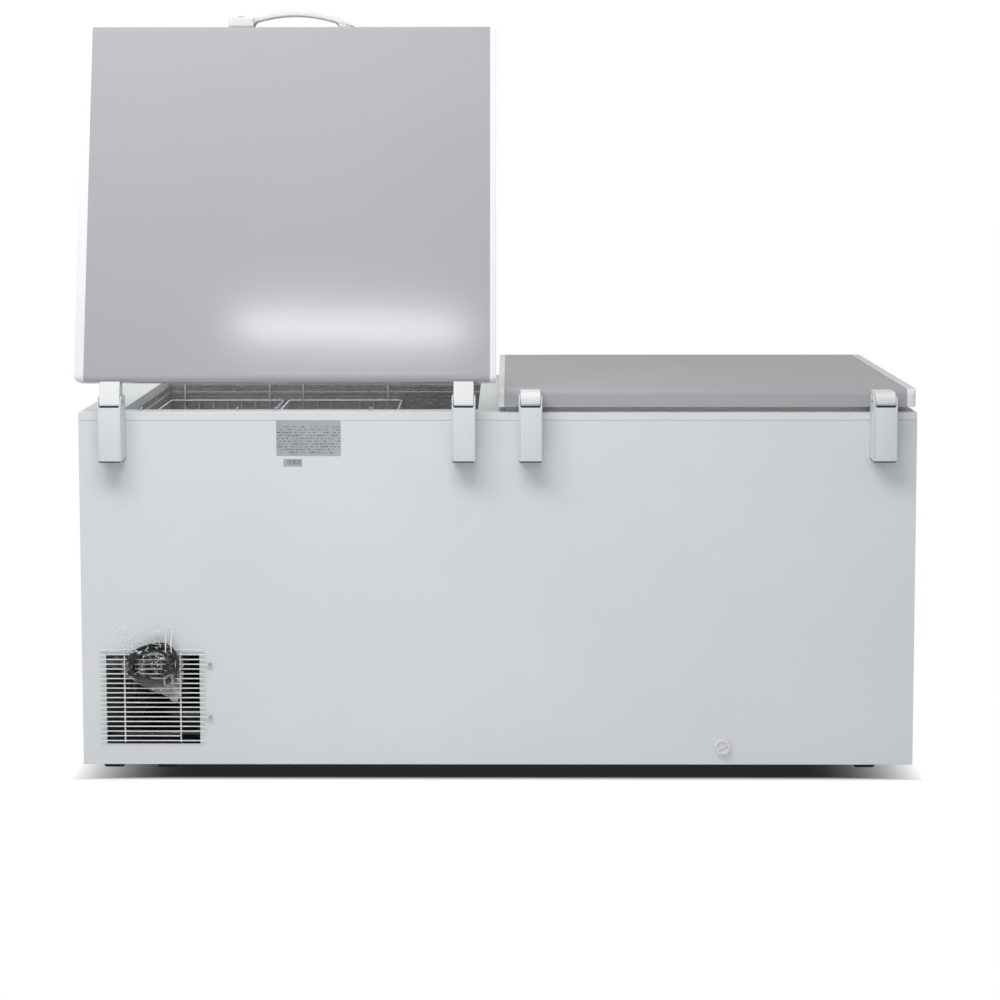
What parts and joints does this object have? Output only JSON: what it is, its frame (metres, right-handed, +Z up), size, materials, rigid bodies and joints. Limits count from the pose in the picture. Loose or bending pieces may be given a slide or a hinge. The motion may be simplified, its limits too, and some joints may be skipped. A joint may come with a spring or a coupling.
{
  "type": "chest freezer",
  "caption": "Chest freezer with two independent hinged top lids, wire baskets, rear compressor grille and a bagged power cord.",
  "frame": {"origin": "on the floor under the middle of the freezer's footprint", "axes": "+Z up; +Y towards the hinged rear side; +X along the length towards the machine compartment"},
  "size_m": [1.95, 0.956, 1.7843],
  "materials": {
    "white_paint": "satin powder coat",
    "lid_grey": "smooth semi-gloss",
    "white_plastic": "satin",
    "rim_plastic": "satin",
    "stucco_aluminium": "embossed",
    "foam": "foamed",
    "seal": "soft matte",
    "copper": "drawn tube",
    "zinc": "galvanised",
    "black_paint": "semi-gloss",
    "black_plastic": "moulded",
    "black_rubber": "matte",
    "white_wire": "plastic-dipped wire",
    "label_film": "printed film",
    "chrome": "polished",
    "lamp_lens": "clear lens",
    "cord_pvc": "smooth PVC"
  },
  "bodies": {
    "cabinet": {"front_panel": "white_paint", "rear_panel": "white_paint", "left_side_panel": "white_paint", "right_side_panel": "white_paint", "bottom_panel": "zinc", "cabinet_foam": "foam", "inner_liner": "stucco_aluminium", "front_rim": "rim_plastic", "rear_rim": "rim_plastic", "end_rims": "rim_plastic", "centre_mullion": "rim_plastic", "evaporator_coil": "copper", "condenser_coil": "copper", "compressor": "black_paint", "compressor_base": "zinc", "compressor_grommets": "black_rubber", "relay_cover": "black_plastic", "filter_drier": "copper", "suction_line": "copper", "discharge_line": "copper", "bay_lining": "zinc", "rear_grille": "white_wire", "grille_screws": "zinc", "control_panel": "white_plastic", "indicator_lamps": "lamp_lens", "drain_tube": "white_plastic", "feet": "black_plastic", "labels": "label_film", "hinge_housings": "white_plastic", "hinge_pins": "zinc", "hinge_springs": "zinc", "hinge_screws": "zinc", "cord_clamp": "black_plastic", "compressor_lead": "cord_pvc", "power_cord_lead": "cord_pvc", "power_cord_coil": "cord_pvc", "power_plug": "black_plastic"},
    "left_lid": {"left_lid_skin": "lid_grey", "left_lid_end_caps": "white_plastic", "left_lid_foam": "foam", "left_lid_inner_panel": "rim_plastic", "left_lid_gasket": "seal", "left_lid_handle": "white_plastic", "left_hinge_leaves": "white_plastic"},
    "right_lid": {"right_lid_skin": "lid_grey", "right_lid_end_caps": "white_plastic", "right_lid_foam": "foam", "right_lid_inner_panel": "rim_plastic", "right_lid_gasket": "seal", "right_lid_handle": "white_plastic", "right_hinge_leaves": "white_plastic"},
    "left_lock": {"left_lock_cylinder": "chrome"},
    "right_lock": {"right_lock_cylinder": "chrome"},
    "thermostat": {"thermostat_knob": "white_plastic"},
    "drain_screw_cap": {"drain_cap": "white_plastic"},
    "cavity_plug": {"drain_plug": "black_rubber"},
    "basket_inner": {"inner_basket": "white_wire"},
    "basket_outer": {"outer_basket": "white_wire"}
  },
  "joints": [
    {"name": "left_lid_hinge", "type": "hinge", "parent": "cabinet", "child": "left_lid", "pos_m": [-0.4885, 0.448, 0.876], "axis": [-1, 0, 0], "range_deg": [0, 85]},
    {"name": "right_lid_hinge", "type": "hinge", "parent": "cabinet", "child": "right_lid", "pos_m": [0.4885, 0.448, 0.876], "axis": [-1, 0, 0], "range_deg": [-77.5, 7.5]},
    {"name": "left_lock_turn", "type": "hinge", "parent": "left_lid", "child": "left_lock", "pos_m": [-0.37125, -0.466, 0.873], "axis": [0, 1, 0], "range_deg": [0, 90]},
    {"name": "right_lock_turn", "type": "hinge", "parent": "right_lid", "child": "right_lock", "pos_m": [0.60525, 0.24724, 1.76769], "axis": [0, 0.2164, -0.9763], "range_deg": [0, 90]},
    {"name": "thermostat_turn", "type": "hinge", "parent": "cabinet", "child": "thermostat", "pos_m": [0.79, -0.419, 0.235], "axis": [0, -1, 0], "range_deg": [0, 300]},
    {"name": "drain_cap_turn", "type": "hinge", "parent": "cabinet", "child": "drain_screw_cap", "pos_m": [-0.528, 0.418, 0.057], "axis": [0, 1, 0], "range_deg": [0, 90]},
    {"name": "drain_plug_pull", "type": "slide", "parent": "cabinet", "child": "cavity_plug", "axis": [0, 0, 1], "range_m": [0, 0.06]},
    {"name": "inner_basket_lift", "type": "slide", "parent": "cabinet", "child": "basket_inner", "axis": [0, 0, 1], "range_m": [0, 0.24]},
    {"name": "outer_basket_lift", "type": "slide", "parent": "cabinet", "child": "basket_outer", "axis": [0, 0, 1], "range_m": [0, 0.24]}
  ]
}
